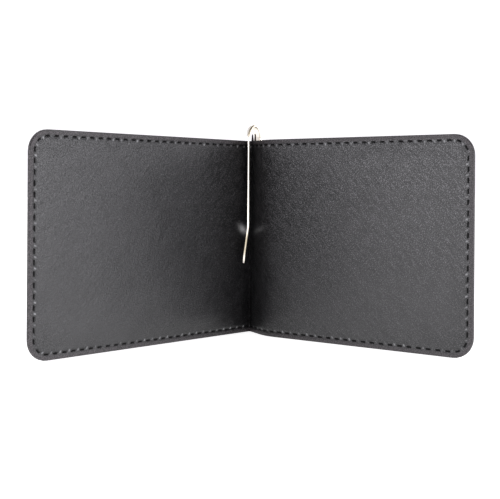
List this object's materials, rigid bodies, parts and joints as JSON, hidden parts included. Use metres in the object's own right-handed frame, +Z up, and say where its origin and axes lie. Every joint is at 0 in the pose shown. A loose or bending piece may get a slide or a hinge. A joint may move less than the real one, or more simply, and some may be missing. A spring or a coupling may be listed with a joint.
{
  "type": "money clip wallet",
  "caption": "Slim bifold leather wallet standing open, with a folded metal strip as a spring money clip over the top edge at the fold.",
  "frame": {"origin": "centre of the bounding box's footprint, on the surface that the wallet stands on", "axes": "+X to the right across the open wallet, +Y towards the back of the fold, +Z up along the fold"},
  "size_m": [0.1532, 0.0828, 0.0841],
  "materials": {
    "outer_leather": "black grained leather, satin",
    "lining_leather": "black fine-grained lining leather, satin",
    "board": "bonded leather board, raw",
    "thread": "waxed black thread",
    "clip_steel": "polished, nickel plated"
  },
  "bodies": {
    "spine": {"clip_sleeve_front": "lining_leather", "clip_sleeve_back": "lining_leather", "spine_shell": "outer_leather", "spine_seam_thread": "thread", "sleeve_top_thread": "thread", "sleeve_bottom_thread": "thread", "clip_back_leg": "clip_steel"},
    "left_spine": {"left_spine_lining": "lining_leather", "left_spine_shell": "outer_leather", "left_spine_top_thread": "thread", "left_spine_bottom_thread": "thread"},
    "left_cover": {"left_cover_lining": "lining_leather", "left_cover_board": "board", "left_cover_shell": "outer_leather", "left_cover_thread": "thread"},
    "right_cover": {"right_cover_lining": "lining_leather", "right_cover_board": "board", "right_cover_shell": "outer_leather", "right_cover_thread": "thread"},
    "clip_arm": {"clip_front_leg": "clip_steel"}
  },
  "joints": [
    {"name": "spine_fold", "type": "hinge", "parent": "spine", "child": "left_spine", "pos_m": [-0.00174, 0.0371, 0.039], "axis": [0, 0, -1], "range_deg": [0, 112]},
    {"name": "left_cover_fold", "type": "hinge", "parent": "left_spine", "child": "left_cover", "pos_m": [-0.0108, 0.02914, 0.039], "axis": [0, 0, -1], "range_deg": [-46.5, 10]},
    {"name": "right_cover_fold", "type": "hinge", "parent": "spine", "child": "right_cover", "pos_m": [0.00527, 0.02491, 0.039], "axis": [0, 0, 1], "range_deg": [-56.3, 5]},
    {"name": "clip_arm_flex", "type": "hinge", "parent": "spine", "child": "clip_arm", "pos_m": [-0.00079, 0.03235, 0.08365], "axis": [-0.2504, 0.9681, 0], "range_deg": [-1.5, 2.2], "stiffness_Nm_per_rad": 0.8}
  ]
}
